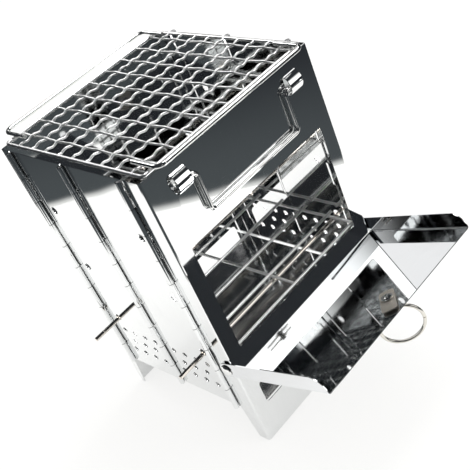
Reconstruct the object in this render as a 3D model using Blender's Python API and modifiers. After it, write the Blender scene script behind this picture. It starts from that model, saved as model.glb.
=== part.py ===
# Folding charcoal grill: a sheet steel fire box on its own feet, with a net, a grate and a fuel door.
# Sizes are in metres. X runs to the right, Y to the rear and Z up.
# The origin is the middle of the front panel's foot edge, at mid sheet.

import math

import bmesh
import bpy
from mathutils import Matrix, Vector

# Sheet and fit
SHEET = 0.0006
GAP = 0.0003
HALF = SHEET / 2

# Fire box
WIDTH = 0.150
HEIGHT = 0.2205
HALF_SPAN = 0.056
FRONT_FLANGE = 0.017
REAR_FLANGE = 0.0117
SIDE_BOTTOM = 0.029
BEND_RADIUS = 0.0012
HEM_HEIGHT = 0.006
FRONT_FOOT = 0.0097
REAR_FOOT = 0.0045

# Rolled hinges
KNUCKLES = 10
KNUCKLE_RADIUS = 0.0020
KNUCKLE_GAP = 0.0004
CURL_TURN = math.radians(288)
CURL_STEPS = 8
PIN_RADIUS = 0.00105
PIN_SHOWS = 0.0008

# Openings of the front and rear panels
WINDOW_FROM_SIDE = 0.012
WINDOW_BOTTOM = 0.0814
WINDOW_FROM_TOP = 0.0554
WINDOW_RADIUS = 0.0015
DRAFT_FROM_SIDE = 0.01175
DRAFT_BOTTOM = 0.0277
DRAFT_TOP = 0.0470
DRAFT_RADIUS = 0.003

# Air vents and rod holes of the half sides
VENT_RADIUS = 0.00225
VENT_PITCH = 0.0114
VENT_FROM_MIDDLE = 0.010
VENT_TOP_ROW = 0.065
VENT_ROW_STEP = 0.010
VENTS_IN_ROWS = (4, 3, 4)
ROD_HOLE_RADIUS = 0.003
ROD_HOLE_LEVEL = 0.078
ROD_HOLE_STEP = 0.049
ROD_HOLES = 3
FRONT_ROD_FROM_MIDDLE = 0.047
REAR_ROD_FROM_MIDDLE = 0.0435

# Support rods and charcoal grate
ROD_RADIUS = 0.0015
ROD_SHOWS_LEFT = 0.023
ROD_SHOWS_RIGHT = 0.006
GRATE_WIRE_RADIUS = 0.0011
GRATE_BARS = 6
GRATE_FRONT_CLEARANCE = 0.0012
GRATE_REAR_CLEARANCE = 0.011
GRATE_END_CLEARANCE = 0.0029
GRATE_CROSS_INSET = 0.004
GRATE_OVERHANG = 0.003
WELD = 0.0003

# Ash plate
ASH_SIDE_CLEARANCE = 0.0014
ASH_FRONT_CLEARANCE = 0.0010
ASH_CORNER = 0.008

# Fuel door, with its hinge axis above the floor
DOOR_OVER_WINDOW = 0.00212
DOOR_AXIS_DEPTH = 0.0057
DOOR_AXIS_HEIGHT = 0.0707
DOOR_RISE = math.radians(16)
WING_RUN = 0.0009
WING_HEIGHT = 0.0118
WING_FRONT_RADIUS = 0.011
RIVET_SHANK = 0.0015
RIVET_HOLE = 0.0018
RIVET_HEAD_RADIUS = 0.0045
RIVET_HEAD_HEIGHT = 0.0018
RIVET_TAIL_RADIUS = 0.0028
RIVET_TAIL_HEIGHT = 0.0010

# Turn latch of the door
LATCH_FROM_EDGE = 0.0155
LATCH_ASIDE = 0.0030
LATCH_TURN = math.radians(45)
TONGUE_LONG = 0.0148
TONGUE_SHORT = 0.0092
TONGUE_WIDTH = 0.0104
TONGUE_THICKNESS = 0.0008
TONGUE_RADIUS = 0.0025
SHOULDER_RADIUS = 0.0024
WASHER_RADIUS = 0.0040
WASHER_THICKNESS = 0.0005
LATCH_HEAD_RADIUS = 0.0027
LATCH_HEAD_HEIGHT = 0.0010
LATCH_TAIL_RADIUS = 0.0019
LATCH_TAIL_HEIGHT = 0.0008

# Pull ring and the strap that holds it
STRAP_THICKNESS = 0.0007
STRAP_WIDTH = 0.006
STRAP_TAIL = 0.0040
EYE_OUT = 0.0046
EYE_BORE = 0.0018
RING_RADIUS = 0.0148
RING_WIRE_RADIUS = 0.0012
RING_CUT = math.radians(100)
RING_CUT_WIDTH = math.radians(3)

# Carrying bail and its pressed lugs
LUG_FROM_SIDE = 0.0236
LUG_WIDTH = 0.011
LUG_HEIGHT = 0.014
LUG_BULGE = 0.0056
LUG_FROM_TOP = 0.015
LUG_SLIT = 0.0004
LUG_STEPS = 8
BAIL_WIRE_RADIUS = 0.0015
BAIL_FROM_LUG = 0.0099
BAIL_DROP = 0.0283
BAIL_BEND = 0.003
BAIL_BELOW_LUG = 0.0005
BAIL_CLEARANCE = 0.0011
BAIL_CENTRE = 0.0013

# Cooking net
FRAME_RADIUS = 0.0012
FRAME_FROM_SIDE = 0.0049
FRAME_FROM_FRONT = 0.0008
FRAME_FROM_REAR = 0.0023
NET_WIRE_RADIUS = 0.0008
NET_CRIMP = 0.00055
NET_PITCH_ACROSS = 0.01505
NET_PITCH_ALONG = 0.0142
NET_FIRST_ACROSS = 0.0122
NET_FIRST_ALONG = 0.0108
CRIMPS_ACROSS = 3
CRIMPS_ALONG = 1
CRIMP_SHIFT = 0.0003
FRAME_BEND = 0.002

# Net handles
HANDLE_RADIUS = 0.0015
HANDLE_FROM_SIDE = 0.0066
HANDLE_OUT = 0.0088
HANDLE_IN = 0.0144
HANDLE_BEND = 0.005

# Places that follow from the sizes
FRONT_FACE = -HALF
FRONT_AXIS = FRONT_FACE + FRONT_FLANGE
MIDDLE_AXIS = FRONT_AXIS + HALF_SPAN
REAR_AXIS = MIDDLE_AXIS + HALF_SPAN
REAR_FACE = REAR_AXIS + REAR_FLANGE
REAR_SHEET = REAR_FACE - HALF
SIDE_SHEET = WIDTH / 2 - HALF
AXIS_OUT = WIDTH / 2 - SHEET + KNUCKLE_RADIUS
KNUCKLE_PITCH = (HEIGHT - SIDE_BOTTOM) / KNUCKLES
CURL_RADIUS = KNUCKLE_RADIUS - HALF
FRONT_ROD = MIDDLE_AXIS - FRONT_ROD_FROM_MIDDLE
REAR_ROD = MIDDLE_AXIS + REAR_ROD_FROM_MIDDLE
ROD_LEVEL = ROD_HOLE_LEVEL - ROD_HOLE_RADIUS + GAP + ROD_RADIUS
WINDOW_WIDTH = WIDTH - 2 * WINDOW_FROM_SIDE
WINDOW_TOP = HEIGHT - WINDOW_FROM_TOP
DRAFT_WIDTH = WIDTH - 2 * DRAFT_FROM_SIDE
GRATE_BAR_LENGTH = WIDTH - 2 * (SHEET + GRATE_END_CLEARANCE)
NET_LEVEL = HEIGHT + GAP + FRAME_RADIUS
DOOR_AXIS = FRONT_FACE + DOOR_AXIS_DEPTH
DOOR_DROP = DOOR_AXIS_DEPTH + GAP
WING_SHEET = WIDTH / 2 + WING_RUN + HALF
DOOR_START = (DOOR_AXIS_DEPTH - DOOR_DROP * math.sin(DOOR_RISE) + GAP) / math.cos(DOOR_RISE)
DOOR_LENGTH = WINDOW_TOP + DOOR_OVER_WINDOW - DOOR_AXIS_HEIGHT - DOOR_START
LUG_OUT = WIDTH / 2 - LUG_FROM_SIDE
LUG_LEVEL = HEIGHT - LUG_FROM_TOP
BAIL_OUT = FRONT_FACE - BAIL_WIRE_RADIUS - BAIL_CLEARANCE
BAIL_SPREAD = LUG_OUT - BAIL_FROM_LUG
BAIL_LEVEL = LUG_LEVEL - BAIL_BELOW_LUG
FRAME_WIDTH = WIDTH - 2 * FRAME_FROM_SIDE
FRAME_FRONT = FRONT_FACE + FRAME_FROM_FRONT
FRAME_DEPTH = REAR_FACE - FRAME_FROM_REAR - FRAME_FRONT
HANDLE_SPREAD = FRAME_WIDTH / 2 - HANDLE_FROM_SIDE

# Looks: colour, roughness
MIRROR_STEEL = ((0.74, 0.76, 0.78), 0.10)
BRIGHT_WIRE = ((0.78, 0.78, 0.78), 0.20)
PIN_STEEL = ((0.55, 0.56, 0.58), 0.30)
RIVET_STEEL = ((0.82, 0.82, 0.82), 0.18)

for old in list(bpy.data.objects):
    bpy.data.objects.remove(old)

ROUND_ANGLE = math.radians(40)


def new_collection(name):
    made = bpy.data.collections.new(name)
    bpy.context.scene.collection.children.link(made)
    return made


PARTS = new_collection("folding_charcoal_grill")
CUTTERS = new_collection("cutters")
ORIGINS = {}


def steel(name, look):
    colour, roughness = look
    material = bpy.data.materials.new(name)
    material.use_nodes = True
    shader = material.node_tree.nodes["Principled BSDF"]
    shader.inputs["Base Color"].default_value = (*colour, 1.0)
    shader.inputs["Metallic"].default_value = 1.0
    shader.inputs["Roughness"].default_value = roughness
    return material


# A piece is drawn where it stands, and its origin is then put on its joint's axis
def piece(name, mesh, look, origin=(0, 0, 0), parent=None):
    origin = Vector(origin)
    mesh.name = name
    mesh.transform(Matrix.Translation(-origin))
    mesh.materials.clear()
    mesh.materials.append(steel(name, look))
    mesh.shade_smooth()
    mesh.set_sharp_from_angle(angle=ROUND_ANGLE)
    made = bpy.data.objects.new(name, mesh)
    PARTS.objects.link(made)
    made.location = origin
    ORIGINS[name] = origin
    if parent:
        made.parent = parent
        made.matrix_parent_inverse = Matrix.Translation(-ORIGINS[parent.name])
    return made


# A piece of the door or the latch is drawn in its parent's own frame
def mounted(name, mesh, look, parent, location=(0, 0, 0), rotation=(0, 0, 0)):
    made = piece(name, mesh, look)
    made.parent = parent
    made.location = location
    made.rotation_euler = rotation
    return made


def join_shape(target, mesh, operation, solver="EXACT"):
    mesh.transform(Matrix.Translation(-ORIGINS[target.name]))
    made = bpy.data.objects.new(f"{target.name}_{operation.lower()}", mesh)
    CUTTERS.objects.link(made)
    made.parent = target
    made.hide_render = True
    made.display_type = "WIRE"
    boolean = target.modifiers.new(operation.title(), "BOOLEAN")
    boolean.operation = operation
    boolean.solver = solver
    boolean.object = made
    return made


def mesh_of(bm):
    mesh = bpy.data.meshes.new("shape")
    bm.to_mesh(mesh)
    bm.free()
    return mesh


def add_box(bm, low, high, radius=0.0, along=None):
    low = Vector(low)
    high = Vector(high)
    placing = Matrix.LocRotScale((low + high) / 2, None, high - low)
    made = bmesh.ops.create_cube(bm, size=1.0, matrix=placing)
    if radius:
        edges = {edge for vert in made["verts"] for edge in vert.link_edges}
        kept = []
        for edge in edges:
            run = edge.verts[1].co - edge.verts[0].co
            if abs(run.normalized()[along]) > 0.99:
                kept.append(edge)
        bmesh.ops.bevel(bm, geom=kept, offset=radius, segments=4, profile=0.5, affect="EDGES")


def box(low, high, radius=0.0, along=None):
    bm = bmesh.new()
    add_box(bm, low, high, radius, along)
    return mesh_of(bm)


def add_rod(bm, start, end, radius, sides):
    start = Vector(start)
    end = Vector(end)
    turn = (end - start).to_track_quat("Z", "Y")
    placing = Matrix.LocRotScale((start + end) / 2, turn, None)
    bmesh.ops.create_cone(
        bm, cap_ends=True, segments=sides, radius1=radius, radius2=radius,
        depth=(end - start).length, matrix=placing,
    )


def rod(start, end, radius, sides=12):
    bm = bmesh.new()
    add_rod(bm, start, end, radius, sides)
    return mesh_of(bm)


# The evaluated curve as a mesh with its caps welded on
def curve_mesh(curve):
    holder = bpy.data.objects.new("holder", curve)
    bpy.context.scene.collection.objects.link(holder)
    depsgraph = bpy.context.evaluated_depsgraph_get()
    mesh = bpy.data.meshes.new_from_object(holder.evaluated_get(depsgraph), depsgraph=depsgraph)
    bm = bmesh.new()
    bm.from_mesh(mesh)
    bmesh.ops.remove_doubles(bm, verts=bm.verts, dist=0.000001)
    bm.to_mesh(mesh)
    bm.free()
    bpy.data.objects.remove(holder)
    bpy.data.curves.remove(curve)
    return mesh


def add_spline(curve, points, cyclic=False):
    spline = curve.splines.new("POLY")
    spline.points.add(len(points) - 1)
    for target, point in zip(spline.points, points):
        target.co = (*point, 1.0)
    spline.use_cyclic_u = cyclic


def wires(paths, radius, resolution=2, cyclic=False):
    curve = bpy.data.curves.new("wire", "CURVE")
    curve.dimensions = "3D"
    curve.bevel_depth = radius
    curve.bevel_resolution = resolution
    curve.use_fill_caps = True
    for path in paths:
        add_spline(curve, path, cyclic)
    return curve_mesh(curve)


# A flat outline in X and Y, as thick as said, about the plane Z = 0
def plate(outline, thickness):
    curve = bpy.data.curves.new("plate", "CURVE")
    curve.dimensions = "2D"
    curve.fill_mode = "BOTH"
    curve.extrude = thickness / 2
    add_spline(curve, [(x, y, 0) for x, y in outline], cyclic=True)
    return curve_mesh(curve)


# A wire path whose corners are bent to a radius
def bent_path(corners, radius, steps=4):
    corners = [Vector(corner) for corner in corners]
    path = [corners[0]]
    for before, corner, after in zip(corners, corners[1:], corners[2:]):
        back = (before - corner).normalized()
        on = (after - corner).normalized()
        half_angle = back.angle(on) / 2
        reach = radius / math.tan(half_angle)
        centre = corner + (back + on).normalized() * radius / math.sin(half_angle)
        start = (corner + back * reach - centre).normalized()
        end = (corner + on * reach - centre).normalized()
        for step in range(steps + 1):
            path.append(centre + radius * start.slerp(end, step / steps))
    path.append(corners[-1])
    return path


# A sheet seen edge on: its middle line, drawn along one way and thickened both ways
def folded_sheet(line, run, thickness=SHEET):
    bm = bmesh.new()
    near = [bm.verts.new(point) for point in line]
    far = [bm.verts.new(Vector(point) + Vector(run)) for point in line]
    for a, b, c, d in zip(near, near[1:], far[1:], far):
        bm.faces.new((a, b, c, d))
    holder = bpy.data.objects.new("holder", mesh_of(bm))
    bpy.context.scene.collection.objects.link(holder)
    solid = holder.modifiers.new("Solidify", "SOLIDIFY")
    solid.thickness = thickness
    solid.offset = 0.0
    solid.use_even_offset = True
    depsgraph = bpy.context.evaluated_depsgraph_get()
    mesh = bpy.data.meshes.new_from_object(holder.evaluated_get(depsgraph), depsgraph=depsgraph)
    bpy.data.objects.remove(holder)
    return mesh


# The rolled edge of a sheet: it meets the sheet at the side "inward" and turns away from it
def curl(centre, inward, away, radius):
    centre = Vector(centre)
    points = []
    for step in range(CURL_STEPS + 1):
        angle = CURL_TURN * step / CURL_STEPS
        points.append(centre + radius * (math.cos(angle) * inward + math.sin(angle) * away))
    return points


def hinge_curl(side, axis, away):
    centre = (side * AXIS_OUT, axis, 0)
    return curl(centre, Vector((-side, 0, 0)), Vector((0, away, 0)), CURL_RADIUS)


def corner_bend(side, sheet, inward, start, end, steps=3):
    centre = Vector((side * (SIDE_SHEET - BEND_RADIUS), sheet + inward * BEND_RADIUS, 0))
    points = []
    for step in range(steps + 1):
        angle = math.radians(start + (end - start) * step / steps)
        points.append(centre + BEND_RADIUS * Vector((math.cos(angle), math.sin(angle), 0)))
    return points


# Notches that leave a leaf only its own knuckles, every other one
def notch_knuckles(leaf, hinges):
    bm = bmesh.new()
    for side, axis, away, first in hinges:
        inner = side * (WIDTH / 2 - 2 * SHEET)
        outer = side * (AXIS_OUT + KNUCKLE_RADIUS + GAP)
        root = axis - away * (KNUCKLE_RADIUS + KNUCKLE_GAP)
        tip = axis + away * (KNUCKLE_RADIUS + GAP)
        for knuckle in range(1 - first, KNUCKLES, 2):
            low = SIDE_BOTTOM + knuckle * KNUCKLE_PITCH - KNUCKLE_GAP / 2
            high = low + KNUCKLE_PITCH + KNUCKLE_GAP
            add_box(
                bm, (min(inner, outer), min(root, tip), low),
                (max(inner, outer), max(root, tip), high),
            )
    join_shape(leaf, mesh_of(bm), "DIFFERENCE")


# Below the hinges a flange narrows to its foot along a slanted edge
def cut_foot(panel, face, foot, axis, away):
    root = axis - away * (KNUCKLE_RADIUS + KNUCKLE_GAP)
    beyond = axis + away * HALF_SPAN / 4
    toe = face + away * foot
    outline = ((toe, -SHEET), (beyond, -SHEET), (beyond, SIDE_BOTTOM), (root, SIDE_BOTTOM))
    mesh = plate(outline, WIDTH * 1.2)
    mesh.transform(Matrix(((0, 0, 1, 0), (1, 0, 0, 0), (0, 1, 0, 0), (0, 0, 0, 1))))
    join_shape(panel, mesh, "DIFFERENCE")


def cut_opening(panel, sheet, width, low, high, radius):
    depth = BEND_RADIUS + SHEET
    corner = (-width / 2, sheet - depth, low)
    opposite = (width / 2, sheet + depth, high)
    join_shape(panel, box(corner, opposite, radius, along=1), "DIFFERENCE")


# The top edge is folded down on the inside
def add_hem(panel, sheet, inward):
    reach = WIDTH / 2 - 3 * BEND_RADIUS
    inner = sheet + inward * (HALF + SHEET)
    low = (-reach, min(sheet, inner), HEIGHT - HEM_HEIGHT)
    high = (reach, max(sheet, inner), HEIGHT)
    join_shape(panel, box(low, high), "UNION")


def make_rear_panel():
    line = list(reversed(hinge_curl(-1, REAR_AXIS, -1)))
    line += corner_bend(-1, REAR_SHEET, -1, 180, 90)
    line += corner_bend(1, REAR_SHEET, -1, 90, 0)
    line += hinge_curl(1, REAR_AXIS, -1)
    panel = piece("rear_panel", folded_sheet(line, (0, 0, HEIGHT)), MIRROR_STEEL)
    cut_foot(panel, REAR_FACE, REAR_FOOT, REAR_AXIS, -1)
    notch_knuckles(panel, [(side, REAR_AXIS, -1, 0) for side in (-1, 1)])
    cut_opening(panel, REAR_SHEET, DRAFT_WIDTH, DRAFT_BOTTOM, DRAFT_TOP, DRAFT_RADIUS)
    add_hem(panel, REAR_SHEET, -1)
    return panel


# A half side has rolled knuckles on both upright edges, rod holes and staggered vents
def make_half_side(name, side, front, rear, rod_place, parent, origin_axis):
    line = list(reversed(hinge_curl(side, front, -1))) + hinge_curl(side, rear, 1)
    base = Vector((0, 0, SIDE_BOTTOM))
    mesh = folded_sheet([point + base for point in line], (0, 0, HEIGHT - SIDE_BOTTOM))
    origin = (side * AXIS_OUT, origin_axis, SIDE_BOTTOM)
    leaf = piece(name, mesh, MIRROR_STEEL, origin, parent)
    first = 1 if front == FRONT_AXIS else 0
    notch_knuckles(leaf, [(side, front, -1, first), (side, rear, 1, 1)])
    toward = 1 if rear == REAR_AXIS else -1
    bm = bmesh.new()
    inner = side * (SIDE_SHEET - BEND_RADIUS)
    outer = side * (SIDE_SHEET + BEND_RADIUS)
    for hole in range(ROD_HOLES):
        level = ROD_HOLE_LEVEL + hole * ROD_HOLE_STEP
        add_rod(bm, (inner, rod_place, level), (outer, rod_place, level), ROD_HOLE_RADIUS, 12)
    for row, count in enumerate(VENTS_IN_ROWS):
        level = VENT_TOP_ROW - row * VENT_ROW_STEP
        shift = (VENTS_IN_ROWS[0] - count) / 2
        for vent in range(count):
            place = MIDDLE_AXIS + toward * (VENT_FROM_MIDDLE + (vent + shift) * VENT_PITCH)
            add_rod(bm, (inner, place, level), (outer, place, level), VENT_RADIUS, 10)
    join_shape(leaf, mesh_of(bm), "DIFFERENCE")
    return leaf


# A lug is an arch pressed out of the panel and slit along its middle
def press_lug(panel, centre):
    rise = LUG_BULGE - HALF - HALF
    arch = (LUG_HEIGHT**2 / 4 + rise**2) / (2 * rise)
    spread = math.asin(LUG_HEIGHT / 2 / arch)
    left = centre - LUG_WIDTH / 2
    hole_low = (left - GAP, -SHEET, LUG_LEVEL - LUG_HEIGHT / 2 + SHEET)
    hole_high = (left + LUG_WIDTH + GAP, SHEET, LUG_LEVEL + LUG_HEIGHT / 2 - SHEET)
    join_shape(panel, box(hole_low, hole_high), "DIFFERENCE")
    line = []
    for step in range(LUG_STEPS + 1):
        angle = spread * (2 * step / LUG_STEPS - 1)
        out = arch * (math.cos(angle) - math.cos(spread))
        line.append(Vector((left, -out, LUG_LEVEL + arch * math.sin(angle))))
    join_shape(panel, folded_sheet(line, (LUG_WIDTH, 0, 0)), "UNION")
    slit_low = (left - GAP, -2 * LUG_BULGE, LUG_LEVEL - LUG_SLIT / 2)
    slit_high = (left + LUG_WIDTH + GAP, -SHEET, LUG_LEVEL + LUG_SLIT / 2)
    join_shape(panel, box(slit_low, slit_high), "DIFFERENCE")


def make_front_panel(parent):
    line = list(reversed(hinge_curl(-1, FRONT_AXIS, 1)))
    line += corner_bend(-1, 0, 1, 180, 270)
    line += corner_bend(1, 0, 1, 270, 360)
    line += hinge_curl(1, FRONT_AXIS, 1)
    origin = (-AXIS_OUT, FRONT_AXIS, SIDE_BOTTOM)
    mesh = folded_sheet(line, (0, 0, HEIGHT))
    panel = piece("front_panel", mesh, MIRROR_STEEL, origin, parent)
    cut_foot(panel, FRONT_FACE, FRONT_FOOT, FRONT_AXIS, 1)
    notch_knuckles(panel, [(side, FRONT_AXIS, 1, 0) for side in (-1, 1)])
    cut_opening(panel, 0, WINDOW_WIDTH, WINDOW_BOTTOM, WINDOW_TOP, WINDOW_RADIUS)
    cut_opening(panel, 0, DRAFT_WIDTH, DRAFT_BOTTOM, DRAFT_TOP, DRAFT_RADIUS)
    reach = WIDTH / 2 + BEND_RADIUS
    axis_left = (-reach, DOOR_AXIS, DOOR_AXIS_HEIGHT)
    axis_right = (reach, DOOR_AXIS, DOOR_AXIS_HEIGHT)
    join_shape(panel, rod(axis_left, axis_right, RIVET_HOLE, 14), "DIFFERENCE")
    add_hem(panel, 0, 1)
    for side in (-1, 1):
        press_lug(panel, BAIL_CENTRE + side * LUG_OUT)
    return panel


def make_hinge_pin(name, side, axis, parent):
    start = (side * AXIS_OUT, axis, SIDE_BOTTOM - PIN_SHOWS)
    end = (side * AXIS_OUT, axis, HEIGHT - GAP)
    mesh = rod(start, end, PIN_RADIUS, 10)
    return piece(name, mesh, PIN_STEEL, (side * AXIS_OUT, axis, SIDE_BOTTOM), parent)


def make_support_rod(name, place, parent):
    start = (-WIDTH / 2 - ROD_SHOWS_LEFT, place, ROD_LEVEL)
    end = (WIDTH / 2 + ROD_SHOWS_RIGHT, place, ROD_LEVEL)
    mesh = rod(start, end, ROD_RADIUS, 14)
    return piece(name, mesh, BRIGHT_WIRE, (0, place, ROD_LEVEL), parent)


# Bars run across and are welded on three wires, which lie on the support rods
def make_grate(parent):
    cross_level = ROD_LEVEL + ROD_RADIUS + GAP + GRATE_WIRE_RADIUS
    bar_level = cross_level + 2 * GRATE_WIRE_RADIUS - WELD
    first = HALF + SHEET + GRATE_FRONT_CLEARANCE + GRATE_WIRE_RADIUS
    last = REAR_SHEET - HALF - SHEET - GRATE_REAR_CLEARANCE - GRATE_OVERHANG
    pitch = (last - first) / (GRATE_BARS - 1)
    bm = bmesh.new()
    for bar in range(GRATE_BARS):
        place = first + bar * pitch
        start = (-GRATE_BAR_LENGTH / 2, place, bar_level)
        end = (GRATE_BAR_LENGTH / 2, place, bar_level)
        add_rod(bm, start, end, GRATE_WIRE_RADIUS, 10)
    grate = piece("charcoal_grate", mesh_of(bm), BRIGHT_WIRE, (0, 0, bar_level), parent)
    crossing = bmesh.new()
    for wire in (-1, 0, 1):
        place = wire * (GRATE_BAR_LENGTH / 2 - GRATE_CROSS_INSET)
        start = (place, first - GRATE_WIRE_RADIUS, cross_level)
        end = (place, last + GRATE_OVERHANG, cross_level)
        add_rod(crossing, start, end, GRATE_WIRE_RADIUS, 10)
    join_shape(grate, mesh_of(crossing), "UNION")
    return grate


# The plate lies on the lower edge of the rear draft opening by its tongue.
# Its front corners are cut off, clear of the bends at the front panel's edges
def make_ash_plate(parent):
    half_width = WIDTH / 2 - SHEET - ASH_SIDE_CLEARANCE
    half_tongue = DRAFT_WIDTH / 2 - DRAFT_RADIUS - GAP
    front = HALF + ASH_FRONT_CLEARANCE
    rear = REAR_SHEET - HALF - GAP
    right_side = [
        (half_width - ASH_CORNER, front),
        (half_width, front + ASH_CORNER),
        (half_width, rear),
        (half_tongue, rear),
        (half_tongue, REAR_FACE),
    ]
    left_side = [(-x, y) for x, y in reversed(right_side)]
    mesh = plate(right_side + left_side, SHEET)
    level = DRAFT_BOTTOM + GAP + HALF
    mesh.transform(Matrix.Translation((0, 0, level)))
    return piece("ash_plate", mesh, MIRROR_STEEL, (0, 0, level), parent)


# The floor and both wings are one sheet, drawn with the hinge axis as the origin and -Y outward
def make_door(parent):
    top = WING_HEIGHT - DOOR_DROP
    floor = -DOOR_DROP - HALF
    end = DOOR_START + DOOR_LENGTH
    corners = [(-WING_SHEET, 0, top), (-WING_SHEET, 0, floor)]
    corners += [(WING_SHEET, 0, floor), (WING_SHEET, 0, top)]
    line = [point + Vector((0, DOOR_AXIS_DEPTH * 2, 0)) for point in bent_path(corners, BEND_RADIUS, 3)]
    mesh = folded_sheet(line, (0, -end - DOOR_AXIS_DEPTH * 2, 0))
    door = mounted("fuel_door", mesh, MIRROR_STEEL, parent)
    door.location = Vector((0, DOOR_AXIS, DOOR_AXIS_HEIGHT)) - ORIGINS[parent.name]
    door.rotation_euler = (-DOOR_RISE, 0, 0)
    bottom = floor - HALF
    rear_radius = (top - bottom) / 2
    middle = (top + bottom) / 2
    outline = []
    for step in range(9):
        angle = math.pi * (step / 8 - 0.5)
        outline.append((rear_radius * math.cos(angle), middle + rear_radius * math.sin(angle)))
    for step in range(7):
        angle = math.pi / 2 * (1 + step / 6)
        along = -end + WING_FRONT_RADIUS * (1 + math.cos(angle))
        outline.append((along, top - WING_FRONT_RADIUS * (1 - math.sin(angle))))
    outline.append((-end, bottom))
    side_view = plate(outline, 2 * WING_SHEET + 4 * SHEET)
    side_view.transform(Matrix(((0, 0, 1, 0), (1, 0, 0, 0), (0, 1, 0, 0), (0, 0, 0, 1))))
    join_shape(door, side_view, "INTERSECT")
    inner = WING_SHEET - HALF
    low = (-inner, -DOOR_START, bottom - SHEET)
    high = (inner, DOOR_AXIS_DEPTH * 3, middle)
    join_shape(door, box(low, high), "DIFFERENCE")
    reach = WING_SHEET + SHEET
    holes = bmesh.new()
    add_rod(holes, (-reach, 0, 0), (reach, 0, 0), RIVET_HOLE, 12)
    pivot = -DOOR_START - DOOR_LENGTH + LATCH_FROM_EDGE
    low = (LATCH_ASIDE, pivot, bottom - SHEET)
    add_rod(holes, low, (LATCH_ASIDE, pivot, middle), RIVET_HOLE, 12)
    join_shape(door, mesh_of(holes), "DIFFERENCE")
    return door


# A turned piece from its outline, which starts and ends on the Z axis, top first
def turned(profile, steps=16):
    bm = bmesh.new()
    verts = [bm.verts.new((x, 0, z)) for x, z in profile]
    for a, b in zip(verts, verts[1:]):
        bm.edges.new((a, b))
    holder = bpy.data.objects.new("holder", mesh_of(bm))
    bpy.context.scene.collection.objects.link(holder)
    screw = holder.modifiers.new("Screw", "SCREW")
    screw.steps = steps
    screw.render_steps = steps
    screw.use_merge_vertices = True
    screw.merge_threshold = 0.00001
    depsgraph = bpy.context.evaluated_depsgraph_get()
    mesh = bpy.data.meshes.new_from_object(holder.evaluated_get(depsgraph), depsgraph=depsgraph)
    bpy.data.objects.remove(holder)
    return mesh


def dome(radius, height, base, steps=4):
    points = []
    for step in range(steps + 1):
        angle = math.pi / 2 * step / steps
        points.append((radius * math.sin(angle), base + height * math.cos(angle)))
    return points


# The shank runs through the wing and the flange, with the domed head outside
def make_door_rivet(name, side, parent):
    wing_face = WING_SHEET + HALF
    flange_face = WIDTH / 2 - SHEET
    profile = dome(RIVET_HEAD_RADIUS, RIVET_HEAD_HEIGHT, wing_face + GAP)
    profile += [(RIVET_SHANK, wing_face + GAP), (RIVET_SHANK, flange_face - GAP)]
    profile += [(RIVET_TAIL_RADIUS, flange_face - GAP)]
    tail = flange_face - GAP - RIVET_TAIL_HEIGHT
    profile += [(RIVET_TAIL_RADIUS, tail), (0, tail)]
    mesh = turned(profile)
    turn = Matrix.Rotation(side * math.pi / 2, 4, "Y")
    axis = Vector((0, DOOR_AXIS, DOOR_AXIS_HEIGHT))
    mesh.transform(Matrix.Translation(axis) @ turn)
    return piece(name, mesh, RIVET_STEEL, axis, parent)


# The latch is drawn with its pivot as the origin, on the door's inner face, long end at +X
def make_latch(door):
    lift = 2 * GAP + SHEET
    tongue_top = lift + TONGUE_THICKNESS
    place = (LATCH_ASIDE, -DOOR_START - DOOR_LENGTH + LATCH_FROM_EDGE, -DOOR_DROP)
    turn = (0, 0, -math.pi / 2 - LATCH_TURN)
    low = (-TONGUE_SHORT, -TONGUE_WIDTH / 2, lift)
    high = (TONGUE_LONG, TONGUE_WIDTH / 2, tongue_top)
    mesh = box(low, high, TONGUE_RADIUS, along=2)
    tongue = mounted("latch_tongue", mesh, MIRROR_STEEL, door, place, turn)
    join_shape(tongue, rod((0, 0, 0), (0, 0, 2 * tongue_top), RIVET_HOLE), "DIFFERENCE")

    washer_low = tongue_top + GAP
    washer_high = washer_low + WASHER_THICKNESS
    disc = rod((0, 0, washer_low), (0, 0, washer_high), WASHER_RADIUS, 20)
    washer = mounted("latch_washer", disc, RIVET_STEEL, tongue)
    join_shape(washer, rod((0, 0, 0), (0, 0, 2 * washer_high), RIVET_HOLE), "DIFFERENCE")

    strap_face = -SHEET - GAP
    head = washer_high + GAP
    tail = strap_face - STRAP_THICKNESS - GAP
    profile = dome(LATCH_HEAD_RADIUS, LATCH_HEAD_HEIGHT, head, 3)
    profile += [(RIVET_SHANK, head), (RIVET_SHANK, lift - GAP)]
    profile += [(SHOULDER_RADIUS, lift - GAP), (SHOULDER_RADIUS, GAP), (RIVET_SHANK, GAP)]
    profile += [(RIVET_SHANK, tail), (LATCH_TAIL_RADIUS, tail)]
    profile += [(LATCH_TAIL_RADIUS, tail - LATCH_TAIL_HEIGHT), (0, tail - LATCH_TAIL_HEIGHT)]
    mounted("latch_rivet", turned(profile), RIVET_STEEL, tongue)

    eye_line = EYE_BORE + STRAP_THICKNESS / 2
    strap_middle = strap_face - STRAP_THICKNESS / 2
    eye = Vector((EYE_OUT, 0, strap_middle - eye_line))
    line = [Vector((-STRAP_TAIL, 0, strap_middle))]
    line += curl(eye, Vector((0, 0, 1)), Vector((1, 0, 0)), eye_line)
    line = [point - Vector((0, STRAP_WIDTH / 2, 0)) for point in line]
    mesh = folded_sheet(line, (0, STRAP_WIDTH, 0), STRAP_THICKNESS)
    strap = mounted("ring_strap", mesh, MIRROR_STEEL, tongue)
    hole = rod((0, 0, 0), (0, 0, strap_middle - STRAP_THICKNESS), RIVET_HOLE)
    join_shape(strap, hole, "DIFFERENCE")
    make_pull_ring(strap, eye)
    return tongue


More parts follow.
